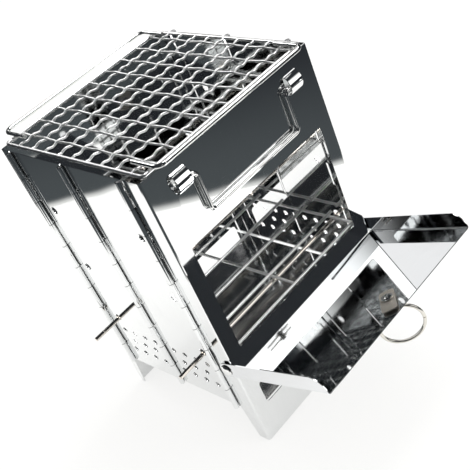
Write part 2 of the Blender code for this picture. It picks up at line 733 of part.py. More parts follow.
# The ring is split like a key ring and hangs straight down through its eye
def make_pull_ring(strap, eye):
    steps = 28
    path = []
    for step in range(steps + 1):
        angle = RING_CUT + RING_CUT_WIDTH / 2
        angle += (2 * math.pi - RING_CUT_WIDTH) * step / steps
        path.append((0, RING_RADIUS * math.sin(angle), RING_RADIUS * (math.cos(angle) - 1)))
    hang = math.asin(math.sin(DOOR_RISE) * math.cos(LATCH_TURN))
    mesh = wires([path], RING_WIRE_RADIUS)
    return mounted("pull_ring", mesh, BRIGHT_WIRE, strap, eye, (0, hang, 0))


# Both ends of the bail turn outward into the lugs
def make_bail(parent):
    stub = LUG_OUT + LUG_WIDTH / 2 - GAP
    low = BAIL_LEVEL - BAIL_DROP
    right_half = [(BAIL_SPREAD, BAIL_OUT, low), (BAIL_SPREAD, BAIL_OUT, BAIL_LEVEL)]
    right_half += [(stub, BAIL_OUT, BAIL_LEVEL)]
    left_half = [(-x, y, z) for x, y, z in reversed(right_half)]
    mesh = wires([bent_path(left_half + right_half, BAIL_BEND)], BAIL_WIRE_RADIUS)
    mesh.transform(Matrix.Translation((BAIL_CENTRE, 0, 0)))
    return piece("carrying_bail", mesh, BRIGHT_WIRE, (BAIL_CENTRE, BAIL_OUT, BAIL_LEVEL), parent)


# A crimped wire's height at its crossings and crimps alternates, so that the wires weave.
# The crossings are many and shallow, so the net is welded with the MANIFOLD solver.
def crimped_wire(length, first, step, sign, place):
    index = -int(first / step)
    points = [place(0, 0)]
    while first + index * step < length - 2 * NET_WIRE_RADIUS:
        along = first + index * step + CRIMP_SHIFT
        if along > NET_WIRE_RADIUS:
            points.append(place(along, sign * (-1) ** (index % 2) * NET_CRIMP))
        index += 1
    points.append(place(length, 0))
    return points


# Wires stand at their pitch, as many as the frame has room for
def wire_places(first, pitch, length):
    room = length - first - FRAME_BEND - NET_WIRE_RADIUS
    return [first + wire * pitch for wire in range(int(room / pitch) + 1)]


def make_net(parent):
    left = -FRAME_WIDTH / 2
    rear = FRAME_FRONT + FRAME_DEPTH
    corners = [(left, FRAME_FRONT), (-left, FRAME_FRONT), (-left, rear), (left, rear)]
    corners = [(x, y, NET_LEVEL) for x, y in corners]
    middle = (0, FRAME_FRONT, NET_LEVEL)
    loop = bent_path([middle] + corners[1:] + corners[:1] + [middle], FRAME_BEND)
    mesh = wires([loop[:-1]], FRAME_RADIUS, cyclic=True)
    net = piece("cooking_net", mesh, BRIGHT_WIRE, (0, 0, NET_LEVEL), parent)
    across = []
    for wire, place in enumerate(wire_places(NET_FIRST_ALONG, NET_PITCH_ALONG, FRAME_DEPTH)):
        across.append(crimped_wire(
            FRAME_WIDTH, NET_FIRST_ACROSS, NET_PITCH_ACROSS / CRIMPS_ACROSS, (-1) ** wire,
            lambda run, rise: (left + run, FRAME_FRONT + place, NET_LEVEL + rise),
        ))
    along = []
    for wire, place in enumerate(wire_places(NET_FIRST_ACROSS, NET_PITCH_ACROSS, FRAME_WIDTH)):
        along.append(crimped_wire(
            FRAME_DEPTH, NET_FIRST_ALONG, NET_PITCH_ALONG / CRIMPS_ALONG, -(-1) ** wire,
            lambda run, rise: (left + place, FRAME_FRONT + run, NET_LEVEL + rise),
        ))
    join_shape(net, wires(across, NET_WIRE_RADIUS, 1), "UNION", "MANIFOLD")
    join_shape(net, wires(along, NET_WIRE_RADIUS, 1), "UNION", "MANIFOLD")
    return net


# A handle lies on the net, with its legs welded over the frame rod
def make_net_handle(name, edge, outward, parent):
    level = NET_LEVEL + max(FRAME_RADIUS, NET_CRIMP + NET_WIRE_RADIUS) + GAP + HANDLE_RADIUS
    inner = edge - outward * HANDLE_IN
    outer = edge + outward * HANDLE_OUT
    corners = [(-HANDLE_SPREAD, inner, level), (-HANDLE_SPREAD, outer, level)]
    corners += [(HANDLE_SPREAD, outer, level), (HANDLE_SPREAD, inner, level)]
    mesh = wires([bent_path(corners, HANDLE_BEND)], HANDLE_RADIUS)
    return piece(name, mesh, BRIGHT_WIRE, (0, edge, level), parent)


def main():
    rear = make_rear_panel()
    front_halves = {}
    for side, word in ((-1, "left"), (1, "right")):
        rear_half = make_half_side(
            f"{word}_rear_side", side, MIDDLE_AXIS, REAR_AXIS, REAR_ROD, rear, REAR_AXIS)
        front_half = make_half_side(
            f"{word}_front_side", side, FRONT_AXIS, MIDDLE_AXIS, FRONT_ROD, rear_half, MIDDLE_AXIS)
        front_halves[side] = front_half
        make_hinge_pin(f"{word}_rear_hinge_pin", side, REAR_AXIS, rear)
        make_hinge_pin(f"{word}_middle_hinge_pin", side, MIDDLE_AXIS, rear_half)
    front = make_front_panel(front_halves[-1])
    for side, word in ((-1, "left"), (1, "right")):
        make_hinge_pin(f"{word}_front_hinge_pin", side, FRONT_AXIS, front)
        make_door_rivet(f"{word}_door_rivet", side, front)
    door = make_door(front)
    make_latch(door)
    make_bail(front)
    make_support_rod("front_support_rod", FRONT_ROD, rear)
    make_support_rod("rear_support_rod", REAR_ROD, rear)
    make_grate(rear)
    make_ash_plate(rear)
    net = make_net(rear)
    make_net_handle("front_net_handle", FRAME_FRONT, -1, net)
    make_net_handle("rear_net_handle", FRAME_FRONT + FRAME_DEPTH, 1, net)


main()
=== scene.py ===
import math

import bmesh
import bpy
from mathutils import Matrix, Vector


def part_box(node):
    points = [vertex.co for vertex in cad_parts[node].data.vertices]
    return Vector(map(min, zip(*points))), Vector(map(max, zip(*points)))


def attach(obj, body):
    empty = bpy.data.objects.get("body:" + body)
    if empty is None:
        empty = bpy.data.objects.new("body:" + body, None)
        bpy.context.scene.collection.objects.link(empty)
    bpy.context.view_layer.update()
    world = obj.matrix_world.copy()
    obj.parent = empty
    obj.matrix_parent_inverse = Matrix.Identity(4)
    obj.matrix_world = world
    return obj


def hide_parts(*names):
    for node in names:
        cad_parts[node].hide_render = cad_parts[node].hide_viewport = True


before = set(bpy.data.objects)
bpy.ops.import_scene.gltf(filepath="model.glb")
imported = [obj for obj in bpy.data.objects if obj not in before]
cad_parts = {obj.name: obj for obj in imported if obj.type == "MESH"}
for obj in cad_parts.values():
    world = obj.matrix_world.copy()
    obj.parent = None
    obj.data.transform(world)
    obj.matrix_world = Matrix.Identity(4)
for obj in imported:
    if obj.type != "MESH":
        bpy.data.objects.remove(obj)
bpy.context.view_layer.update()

# ---------------------------------------------------------------- rear panel
# The rear panel is one bent sheet of mirror polished stainless steel with a
# draft opening at its foot and a hem along its top. Both side edges are rolled
# into every other knuckle of the hinges.


# A new node with its settings, and its inputs set or linked by name
def put(tree, kind, settings=None, **values):
    made = tree.nodes.new(kind)
    for key, value in (settings or {}).items():
        setattr(made, key, value)
    for name, value in values.items():
        join(tree, value, made.inputs[name.replace("_", " ")])
    return made


def join(tree, source, target):
    if isinstance(source, bpy.types.NodeSocket):
        tree.links.new(source, target)
    else:
        target.default_value = source


def reckon(tree, operation, *numbers):
    made = put(tree, "ShaderNodeMath", {"operation": operation})
    for number, socket in zip(numbers, made.inputs):
        join(tree, number, socket)
    return made.outputs[0]


def sockets(tree, way, wanted):
    for name, kind, value in wanted:
        made = tree.interface.new_socket(name=name, in_out=way, socket_type="NodeSocket" + kind)
        if value is not None:
            made.default_value = value


RUBBED_DULLER = 0.12


# Rolled sheet after polishing: fine streaks along the rolling direction, faint smudges, and
# edges that are paler and duller, partly worn by handling and partly a painted highlight
def make_polish_group():
    tree = bpy.data.node_groups.new("polish", "ShaderNodeTree")
    sockets(tree, "INPUT", [
        ("Steel", "Color", (0.8, 0.8, 0.8, 1)), ("Streak Stretch", "Vector", (1, 1, 1)),
        ("Streaks", "Float", 0.05), ("Roughness", "Float", 0.05), ("Smudges", "Float", 0.05),
        ("Rubbed Edge", "Float", 0.3),
    ])
    sockets(tree, "OUTPUT", [
        ("Colour", "Color", None), ("Roughness", "Float", None), ("Grain", "Float", None),
    ])
    given = put(tree, "NodeGroupInput").outputs
    place = put(tree, "ShaderNodeTexCoord").outputs["Object"]
    drawn = put(tree, "ShaderNodeMapping", Vector=place, Scale=given["Streak Stretch"]).outputs[0]
    streak = put(tree, "ShaderNodeTexNoise", Vector=drawn, Scale=900.0, Detail=4.0).outputs[0]
    cloud = put(
        tree, "ShaderNodeTexNoise", Vector=place, Scale=26.0, Detail=5.0, Roughness=0.6).outputs[0]
    smudge = put(
        tree, "ShaderNodeMapRange", {"interpolation_type": "SMOOTHSTEP"}, Value=cloud,
        From_Min=0.5, From_Max=0.72).outputs[0]
    soft = put(tree, "ShaderNodeBevel", {"samples": 4}, Radius=0.00025).outputs[0]
    true = put(tree, "ShaderNodeNewGeometry").outputs["Normal"]
    facing = put(tree, "ShaderNodeVectorMath", {"operation": "DOT_PRODUCT"})
    join(tree, soft, facing.inputs[0])
    join(tree, true, facing.inputs[1])
    # The edge mask paints a paler colour along every edge: partly worn steel, partly a painted
    # highlight on the sheet edges
    edge = put(tree, "ShaderNodeMapRange", Value=facing.outputs["Value"], From_Min=0.99, From_Max=0.8)
    edge = reckon(tree, "MULTIPLY", edge.outputs[0], given["Rubbed Edge"])
    uneven = reckon(tree, "SUBTRACT", streak, 0.5)
    shade = reckon(tree, "MULTIPLY_ADD", uneven, given["Streaks"], 1.0)
    shade = reckon(tree, "SUBTRACT", shade, reckon(tree, "MULTIPLY", smudge, given["Smudges"]))
    toned = put(tree, "ShaderNodeMix", {"data_type": "RGBA", "blend_type": "MULTIPLY"})
    toned.inputs[0].default_value = 1.0
    join(tree, given["Steel"], toned.inputs[6])
    join(tree, shade, toned.inputs[7])
    # Paler colour along the edges: partly wear, partly painted highlight
    rubbed_and_sheen = put(tree, "ShaderNodeMix", {"data_type": "RGBA"})
    join(tree, edge, rubbed_and_sheen.inputs[0])
    join(tree, toned.outputs[2], rubbed_and_sheen.inputs[6])
    rubbed_and_sheen.inputs[7].default_value = (0.9, 0.9, 0.89, 1)
    dull = reckon(tree, "MULTIPLY_ADD", uneven, given["Streaks"], given["Roughness"])
    dull = reckon(tree, "MULTIPLY_ADD", smudge, given["Smudges"], dull)
    dull = reckon(tree, "MULTIPLY_ADD", edge, RUBBED_DULLER, dull)
    result = put(tree, "NodeGroupOutput")
    join(tree, rubbed_and_sheen.outputs[2], result.inputs["Colour"])
    join(tree, dull, result.inputs["Roughness"])
    join(tree, streak, result.inputs["Grain"])
    return tree


POLISH = make_polish_group()
WAVE_SCALE = 9.0


# A polished steel: its colour, its roughness, how pale its edges are from wear and from a
# painted highlight, and the heights of its sheet's waves and of its grain, in metres
def polished_steel(name, colour, roughness, stretch=(1, 1, 1), streaks=0.05, smudges=0.05,
                   wave=0.0, grain=0.0, rubbed_and_sheen=0.3):
    made = bpy.data.materials.new(name)
    made.use_nodes = True
    tree = made.node_tree
    shader = tree.nodes["Principled BSDF"]
    shader.inputs["Metallic"].default_value = 1.0
    polish = put(
        tree, "ShaderNodeGroup", {"node_tree": POLISH}, Steel=(*colour, 1), Streak_Stretch=stretch,
        Streaks=streaks, Roughness=roughness, Smudges=smudges, Rubbed_Edge=rubbed_and_sheen)
    join(tree, polish.outputs["Colour"], shader.inputs["Base Color"])
    join(tree, polish.outputs["Roughness"], shader.inputs["Roughness"])
    place = put(tree, "ShaderNodeTexCoord").outputs["Object"]
    swell = put(tree, "ShaderNodeTexNoise", Vector=place, Scale=WAVE_SCALE, Detail=1.0).outputs[0]
    swell = reckon(tree, "MULTIPLY", swell, wave)
    height = reckon(tree, "MULTIPLY_ADD", polish.outputs["Grain"], grain, swell)
    bump = put(tree, "ShaderNodeBump", Strength=1.0, Distance=1.0, Height=height)
    join(tree, bump.outputs[0], shader.inputs["Normal"])
    return made


mirror_sheet = polished_steel(
    "mirror_sheet", (0.83, 0.84, 0.84), 0.035, stretch=(1, 1, 0.04), streaks=0.03, smudges=0.03,
    wave=0.0006, grain=0.0000004)


WELD_GAP = 0.000002
SLIVER = 0.000001
SAME_PLANE = math.radians(0.5)


# A copy of a piece's solid as one welded skin, with each flat face in one part
def welded_skin(node):
    bm = bmesh.new()
    bm.from_mesh(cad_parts[node].data)
    bmesh.ops.remove_doubles(bm, verts=bm.verts, dist=WELD_GAP)
    bmesh.ops.dissolve_degenerate(bm, edges=bm.edges, dist=SLIVER)
    bmesh.ops.dissolve_limit(
        bm, angle_limit=SAME_PLANE, use_dissolve_boundaries=False, verts=bm.verts, edges=bm.edges)
    return bm


SHARP_CORNER = math.radians(40)
FLAT_WEIGHT = 90
FLAT_AREA = 0.00006


# The finished piece in one material. Its bends shade round, and a face larger
# than FLAT_AREA, in square metres, is flat sheet and mirrors as one plane
def finished(bm, name, material):
    mesh = bpy.data.meshes.new(name)
    bm.to_mesh(mesh)
    bm.free()
    mesh.materials.clear()
    mesh.materials.append(material)
    mesh.polygons.foreach_set("material_index", [0] * len(mesh.polygons))
    mesh.shade_smooth()
    mesh.set_sharp_from_angle(angle=SHARP_CORNER)
    made = bpy.data.objects.new(name, mesh)
    bpy.context.scene.collection.objects.link(made)
    flat = made.modifiers.new("flat_faces", "WEIGHTED_NORMAL")
    flat.weight = FLAT_WEIGHT
    flat.keep_sharp = True
    depsgraph = bpy.context.evaluated_depsgraph_get()
    shaded = bpy.data.meshes.new_from_object(made.evaluated_get(depsgraph), depsgraph=depsgraph)
    made.modifiers.clear()
    made.data = shaded
    normals = [Vector(corner.vector) for corner in shaded.corner_normals]
    for face in shaded.polygons:
        if face.area > FLAT_AREA:
            for corner in face.loop_indices:
                normals[corner] = Vector(face.normal)
    shaded.normals_split_custom_set(normals)
    return made


# Knuckles: a strip as long as the knuckle, rolled about the hinge axis and
# repeated up the edge at two knuckles' pitch
def make_knuckle_tree():
    tree = bpy.data.node_groups.new("rolled_knuckles", "GeometryNodeTree")
    tree.is_modifier = True
    sockets(tree, "INPUT", [
        ("Geometry", "Geometry", None), ("Axis", "Vector", None), ("Roll Radius", "Float", 0.0017),
        ("Sheet", "Float", 0.0006), ("Start", "Float", 0.0), ("Sweep", "Float", 5.0),
        ("Steps", "Int", 29), ("Knuckle", "Float", 0.0188), ("Count", "Int", 5),
        ("Step", "Float", 0.0383), ("Steel", "Material", None),
    ])
    sockets(tree, "OUTPUT", [("Geometry", "Geometry", None)])
    given = put(tree, "NodeGroupInput").outputs
    roll = put(
        tree, "GeometryNodeCurveArc", {"mode": "RADIUS"}, Resolution=given["Steps"],
        Radius=given["Roll Radius"], Start_Angle=given["Start"], Sweep_Angle=given["Sweep"])
    strip = put(
        tree, "GeometryNodeCurvePrimitiveQuadrilateral", {"mode": "RECTANGLE"},
        Width=given["Sheet"], Height=given["Knuckle"])
    rolled = put(
        tree, "GeometryNodeCurveToMesh", Curve=roll.outputs["Curve"], Profile_Curve=strip.outputs[0])
    rolled.inputs["Fill Caps"].default_value = True
    step = put(tree, "ShaderNodeCombineXYZ", Z=given["Step"]).outputs[0]
    places = put(
        tree, "GeometryNodeMeshLine", {"mode": "OFFSET", "count_mode": "TOTAL"},
        Count=given["Count"], Start_Location=given["Axis"], Offset=step)
    placed = put(
        tree, "GeometryNodeInstanceOnPoints", Points=places.outputs[0], Instance=rolled.outputs[0])
    real = put(tree, "GeometryNodeRealizeInstances", Geometry=placed.outputs[0])
    coated = put(tree, "GeometryNodeSetMaterial", Geometry=real.outputs[0], Material=given["Steel"])
    put(tree, "NodeGroupOutput", Geometry=coated.outputs[0])
    return tree


# The plain mesh that a tree makes with these values
def grown(tree, values, base=None):
    holder = bpy.data.objects.new("holder", base or bpy.data.meshes.new("holder"))
    bpy.context.scene.collection.objects.link(holder)
    shape = holder.modifiers.new("shape", "NODES")
    shape.node_group = tree
    for item in tree.interface.items_tree:
        if item.in_out == "INPUT" and item.name in values:
            shape[item.identifier] = values[item.name]
    depsgraph = bpy.context.evaluated_depsgraph_get()
    mesh = bpy.data.meshes.new_from_object(holder.evaluated_get(depsgraph), depsgraph=depsgraph)
    bpy.data.objects.remove(holder)
    return mesh


ROLLED_KNUCKLES = make_knuckle_tree()
SIDE = 0.075
HINGE_OUT = 0.0764
FRONT_HINGE, MIDDLE_HINGE, REAR_HINGE = 0.0167, 0.0727, 0.1287
LEAF_FOOT = 0.029
KNUCKLE_PITCH = 0.01915
KNUCKLE_GAP = 0.0004
ROLL_SWEEP = math.radians(288)
PAST_SIDE = SIDE + 0.00005
ON_CUT = 0.0000001


# One leaf: its sheet, cut at its hinge lines and without the coarse rolls, and
# its own knuckles. Each edge has its side of the box, its hinge line, the way
# out of the sheet along Y, and its first knuckle
def make_leaf(node, name, edges, material):
    bm = welded_skin(node)
    for side, axis, away, first in edges:
        bmesh.ops.bisect_plane(
            bm, geom=bm.verts[:] + bm.edges[:] + bm.faces[:], plane_co=(0, axis, 0),
            plane_no=(0, away, 0), clear_outer=True, dist=ON_CUT)
    rolls = [face for face in bm.faces if abs(face.calc_center_median().x) > PAST_SIDE]
    bmesh.ops.delete(bm, geom=rolls, context="FACES")
    for side, axis, away, first in edges:
        mesh = grown(ROLLED_KNUCKLES, {
            "Axis": (side * HINGE_OUT, axis, LEAF_FOOT + (first + 0.5) * KNUCKLE_PITCH),
            "Start": 0.0 if side < 0 else math.pi, "Sweep": -side * away * ROLL_SWEEP,
            "Knuckle": KNUCKLE_PITCH - KNUCKLE_GAP, "Step": 2 * KNUCKLE_PITCH, "Steel": material,
        })
        bm.from_mesh(mesh)
        bpy.data.meshes.remove(mesh)
    return finished(bm, name, material)


rear_sheet = make_leaf(
    "rear_panel", "rear_sheet", [(side, REAR_HINGE, -1, 0) for side in (-1, 1)], mirror_sheet)
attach(rear_sheet, "rear_body")
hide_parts("rear_panel")

# ---------------------------------------------------------------- half sides
# Each side is two leaves of the same mirror sheet, with punched vents at the
# foot and three rod holes, and rolled knuckles on both upright edges.

for side, word in ((-1, "left"), (1, "right")):
    for part, low, high, first in (
        ("rear", MIDDLE_HINGE, REAR_HINGE, 0),
        ("front", FRONT_HINGE, MIDDLE_HINGE, 1),
    ):
        leaf = make_leaf(
            f"{word}_{part}_side", f"{word}_{part}_leaf",
            [(side, low, -1, first), (side, high, 1, 1)], mirror_sheet)
        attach(leaf, f"{word}_{part}_body")
        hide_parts(f"{word}_{part}_side")

# ---------------------------------------------------------------- hinge pins
# Six straight pins of drawn steel wire run the full height of the knuckles.
# They are duller than the sheet, with rings left by the drawing die.

pin_steel = polished_steel(
    "pin_steel", (0.58, 0.58, 0.58), 0.26, stretch=(1, 1, 6), streaks=0.16, smudges=0.1,
    grain=0.000002)
for side in ("left", "right"):
    for part in ("front", "middle", "rear"):
        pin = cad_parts[f"{side}_{part}_hinge_pin"]
        pin.data.materials.clear()
        pin.data.materials.append(pin_steel)

# ---------------------------------------------------------------- front panel
# The front panel matches the rear one, with a large window above the draft
# opening. Two lugs are pressed out of it to hold the carrying bail.

front_sheet = make_leaf(
    "front_panel", "front_sheet", [(side, FRONT_HINGE, 1, 0) for side in (-1, 1)], mirror_sheet)
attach(front_sheet, "front_body")
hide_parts("front_panel")

# ---------------------------------------------------------------- ash plate
# A loose flat plate of the same sheet lies across the fire box above the feet
# and catches the ash. It is the dullest sheet, from heat and ash.

ash_steel = polished_steel(
    "ash_steel", (0.62, 0.62, 0.62), 0.08, stretch=(1, 0.05, 1), streaks=0.05, smudges=0.1,
    wave=0.0005, grain=0.0000005)
ash_plate = finished(welded_skin("ash_plate"), "ash_sheet", ash_steel)
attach(ash_plate, "rear_body")
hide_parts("ash_plate")

# ---------------------------------------------------------------- fuel door
# The door is a tray of mirror sheet with two upright wings, hung between two
# domed rivets. It rests open on the lower edge of the window.

door_sheet = polished_steel(
    "door_sheet", (0.82, 0.83, 0.84), 0.03, stretch=(0.04, 1, 1), streaks=0.03, smudges=0.03,
    wave=0.0004, grain=0.0000004)
door = finished(welded_skin("fuel_door"), "door_tray", door_sheet)
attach(door, "door_body")
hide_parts("fuel_door")

rivet_steel = polished_steel(
    "rivet_steel", (0.82, 0.82, 0.81), 0.09, streaks=0.08, smudges=0.08, grain=0.000002, rubbed_and_sheen=0.5)
for side in ("left", "right"):
    rivet = finished(welded_skin(f"{side}_door_rivet"), f"{side}_wing_rivet", rivet_steel)
    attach(rivet, "front_body")
    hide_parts(f"{side}_door_rivet")

# ---------------------------------------------------------------- turn latch
# A small satin plate turns on a rivet at the door's free edge, above a washer.
# A strap on the same rivet, under the door, is rolled into the ring's eye.

latch_steel = polished_steel(
    "latch_steel", (0.78, 0.72, 0.64), 0.40, stretch=(0.3, 1, 1), streaks=0.15, smudges=0.08,
    grain=0.000002, rubbed_and_sheen=0.7)
for node, name, steel, slot in (
    ("latch_tongue", "latch_plate", latch_steel, "mirror_steel"),
    ("latch_washer", "latch_washer_disc", rivet_steel, "rivet_steel"),
    ("latch_rivet", "latch_rivet_head", rivet_steel, "rivet_steel"),
    ("ring_strap", "ring_strap_loop", mirror_sheet, "mirror_steel"),
):
    made = finished(welded_skin(node), name, steel)
    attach(made, "latch_body")
    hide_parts(node)

# ---------------------------------------------------------------- pull ring
# A ring of bright steel wire, bent round and butted with a small gap, hangs
# loose from the eye of the strap under the door.

ring_steel = polished_steel(
    "ring_steel", (0.70, 0.68, 0.63), 0.16, streaks=0.08, smudges=0.08, grain=0.000001)


# Wire: a path with its corners bent to a radius, drawn round, and its cut ends
# tumbled smooth
def make_wire_tree():
    tree = bpy.data.node_groups.new("bent_wire", "GeometryNodeTree")
    tree.is_modifier = True
    sockets(tree, "INPUT", [
        ("Geometry", "Geometry", None), ("Wire Radius", "Float", 0.0015), ("Bend", "Float", 0.003),
        ("Bend Steps", "Int", 8), ("Sides", "Int", 16), ("End", "Float", 0.7),
        ("Steel", "Material", None),
    ])
    sockets(tree, "OUTPUT", [("Geometry", "Geometry", None)])
    given = put(tree, "NodeGroupInput").outputs
    path = put(tree, "GeometryNodeMeshToCurve", Mesh=given["Geometry"])
    bent = put(
        tree, "GeometryNodeFilletCurve", {"mode": "POLY"}, Curve=path.outputs[0],
        Count=given["Bend Steps"], Radius=given["Bend"])
    bent.inputs["Limit Radius"].default_value = True
    ends = put(tree, "GeometryNodeCurveEndpointSelection").outputs[0]
    cut = put(
        tree, "GeometryNodeSetCurveRadius", Curve=bent.outputs[0], Selection=ends, Radius=given["End"])
    round_wire = put(
        tree, "GeometryNodeCurvePrimitiveCircle", {"mode": "RADIUS"}, Resolution=given["Sides"],
        Radius=given["Wire Radius"])
    drawn = put(
        tree, "GeometryNodeCurveToMesh", Curve=cut.outputs[0], Profile_Curve=round_wire.outputs[0])
    drawn.inputs["Fill Caps"].default_value = True
    real = put(tree, "GeometryNodeRealizeInstances", Geometry=drawn.outputs[0])
    coated = put(tree, "GeometryNodeSetMaterial", Geometry=real.outputs[0], Material=given["Steel"])
    put(tree, "NodeGroupOutput", Geometry=coated.outputs[0])
    return tree


BENT_WIRE = make_wire_tree()
CUT_END = 0.0003


# Open paths get a point just inside each end, where the tumbled end starts
def wire_mesh(paths, radius, bend, steel, closed=False):
    bm = bmesh.new()
    for path in paths:
        path = [Vector(point) for point in path]
        if not closed:
            path.insert(1, path[0] + (path[1] - path[0]).normalized() * CUT_END)
            path.insert(-1, path[-1] + (path[-2] - path[-1]).normalized() * CUT_END)
        verts = [bm.verts.new(point) for point in path]
        for pair in zip(verts, verts[1:] + verts[:1] if closed else verts[1:]):
            bm.edges.new(pair)
    base = bpy.data.meshes.new("path")
    bm.to_mesh(base)
    bm.free()
    return grown(BENT_WIRE, {"Wire Radius": radius, "Bend": bend, "Steel": steel}, base)


def finished_wire(meshes, name, steel):
    bm = bmesh.new()
    for mesh in meshes:
        bm.from_mesh(mesh)
        bpy.data.meshes.remove(mesh)
    bmesh.ops.recalc_face_normals(bm, faces=bm.faces)
    return finished(bm, name, steel)


RING_WIRE, RING_RADIUS = 0.0012, 0.0148
RING_BUTT, RING_WRAP, RING_STEPS = 101.5, 357, 96
DOOR_AXIS, DOOR_TILT = (0, 0.0054, 0.0707), math.radians(-16)
LATCH_ON_DOOR, LATCH_TURN = (0.003, -0.08102, -0.006), math.radians(-135)
EYE_ON_LATCH, STRAP_SKEW = (0.0046, 0, -0.0034), math.radians(45)

# The ring's place follows from the door, the latch on it and the eye, in which
# the ring hangs plumb
door_place = Matrix.Translation(DOOR_AXIS) @ Matrix.Rotation(DOOR_TILT, 4, "X")
latch_place = door_place @ Matrix.Translation(LATCH_ON_DOOR) @ Matrix.Rotation(LATCH_TURN, 4, "Z")
ring_hang = math.asin(math.sin(-DOOR_TILT) * math.cos(STRAP_SKEW))
ring_place = latch_place @ Matrix.Translation(EYE_ON_LATCH) @ Matrix.Rotation(ring_hang, 4, "Y")
ring_path = []
for step in range(RING_STEPS + 1):
    angle = math.radians(RING_BUTT + RING_WRAP * step / RING_STEPS)
    around = Vector((0, RING_RADIUS * math.sin(angle), RING_RADIUS * (math.cos(angle) - 1)))
    ring_path.append(ring_place @ around)
ring = finished_wire(
    [wire_mesh([ring_path], RING_WIRE, 0.0, ring_steel)], "ring_of_wire", ring_steel)
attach(ring, "ring_body")
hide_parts("pull_ring")

# ---------------------------------------------------------------- carrying bail
# One wire bent to a wide U. Both ends turn outward into the slit lugs of the
# front panel, and it hangs against the panel.

handle_steel = polished_steel(
    "handle_steel", (0.86, 0.86, 0.85), 0.11, streaks=0.06, smudges=0.06, grain=0.0000006)
THICK_WIRE = 0.0015
BAIL_BEND = 0.003
BAIL_MIDDLE, BAIL_Y = 0.0013, -0.0029
BAIL_ARM, BAIL_TIP = 0.0415, 0.0566
BAIL_GRIP_Z, BAIL_AXIS_Z = 0.1767, 0.205

bail_half = [(BAIL_ARM, BAIL_GRIP_Z), (BAIL_ARM, BAIL_AXIS_Z), (BAIL_TIP, BAIL_AXIS_Z)]
bail_path = [(BAIL_MIDDLE - x, BAIL_Y, z) for x, z in reversed(bail_half)]
bail_path += [(BAIL_MIDDLE + x, BAIL_Y, z) for x, z in bail_half]
bail = finished_wire(
    [wire_mesh([bail_path], THICK_WIRE, BAIL_BEND, handle_steel)], "bail_wire", handle_steel)
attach(bail, "bail_body")
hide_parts("carrying_bail")

# ---------------------------------------------------------------- support rods
# Two loose rods pass through the holes of both sides and carry the grate. They
# stick out on the left and have a warm tone from the heat.

rod_steel = polished_steel(
    "rod_steel", (0.80, 0.75, 0.69), 0.10, stretch=(0.5, 1, 1), streaks=0.1, smudges=0.12,
    grain=0.000001)
for place in ("front", "rear"):
    low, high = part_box(f"{place}_support_rod")
    middle = (low + high) / 2
    path = [(low.x, middle.y, middle.z), (high.x, middle.y, middle.z)]
    rod = finished_wire(
        [wire_mesh([path], THICK_WIRE, 0.0, rod_steel)], f"{place}_rod_wire", rod_steel)
    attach(rod, f"{place}_rod_body")
    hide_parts(f"{place}_support_rod")

# ---------------------------------------------------------------- charcoal grate
# Six bars of bright wire are spot welded on three cross wires, which lie loose
# on the two support rods.

wire_steel = polished_steel(
    "wire_steel", (0.90, 0.90, 0.89), 0.30, streaks=0.08, smudges=0.06, grain=0.000001)
GRATE_WIRE = 0.0011
BAR_END, FIRST_BAR, BAR_PITCH, BAR_LEVEL = 0.0715, 0.0032, 0.0244, 0.0816
CROSS_OUT, CROSS_FRONT, CROSS_REAR, CROSS_LEVEL = 0.0675, 0.0021, 0.1282, 0.0797

bar_lines = [FIRST_BAR + bar * BAR_PITCH for bar in range(6)]
grate_bars = [[(-BAR_END, y, BAR_LEVEL), (BAR_END, y, BAR_LEVEL)] for y in bar_lines]
cross_lines = (-CROSS_OUT, 0.0, CROSS_OUT)
grate_cross = [[(x, CROSS_FRONT, CROSS_LEVEL), (x, CROSS_REAR, CROSS_LEVEL)] for x in cross_lines]
grate = finished_wire(
    [wire_mesh(grate_bars + grate_cross, GRATE_WIRE, 0.0, wire_steel)], "grate_wires", wire_steel)
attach(grate, "grate_body")
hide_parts("charcoal_grate")

# ---------------------------------------------------------------- cooking net
# Crimped wires woven at right angles are welded to a frame of heavier wire. The
# wires across swing three times in a cell, and those to the rear once.


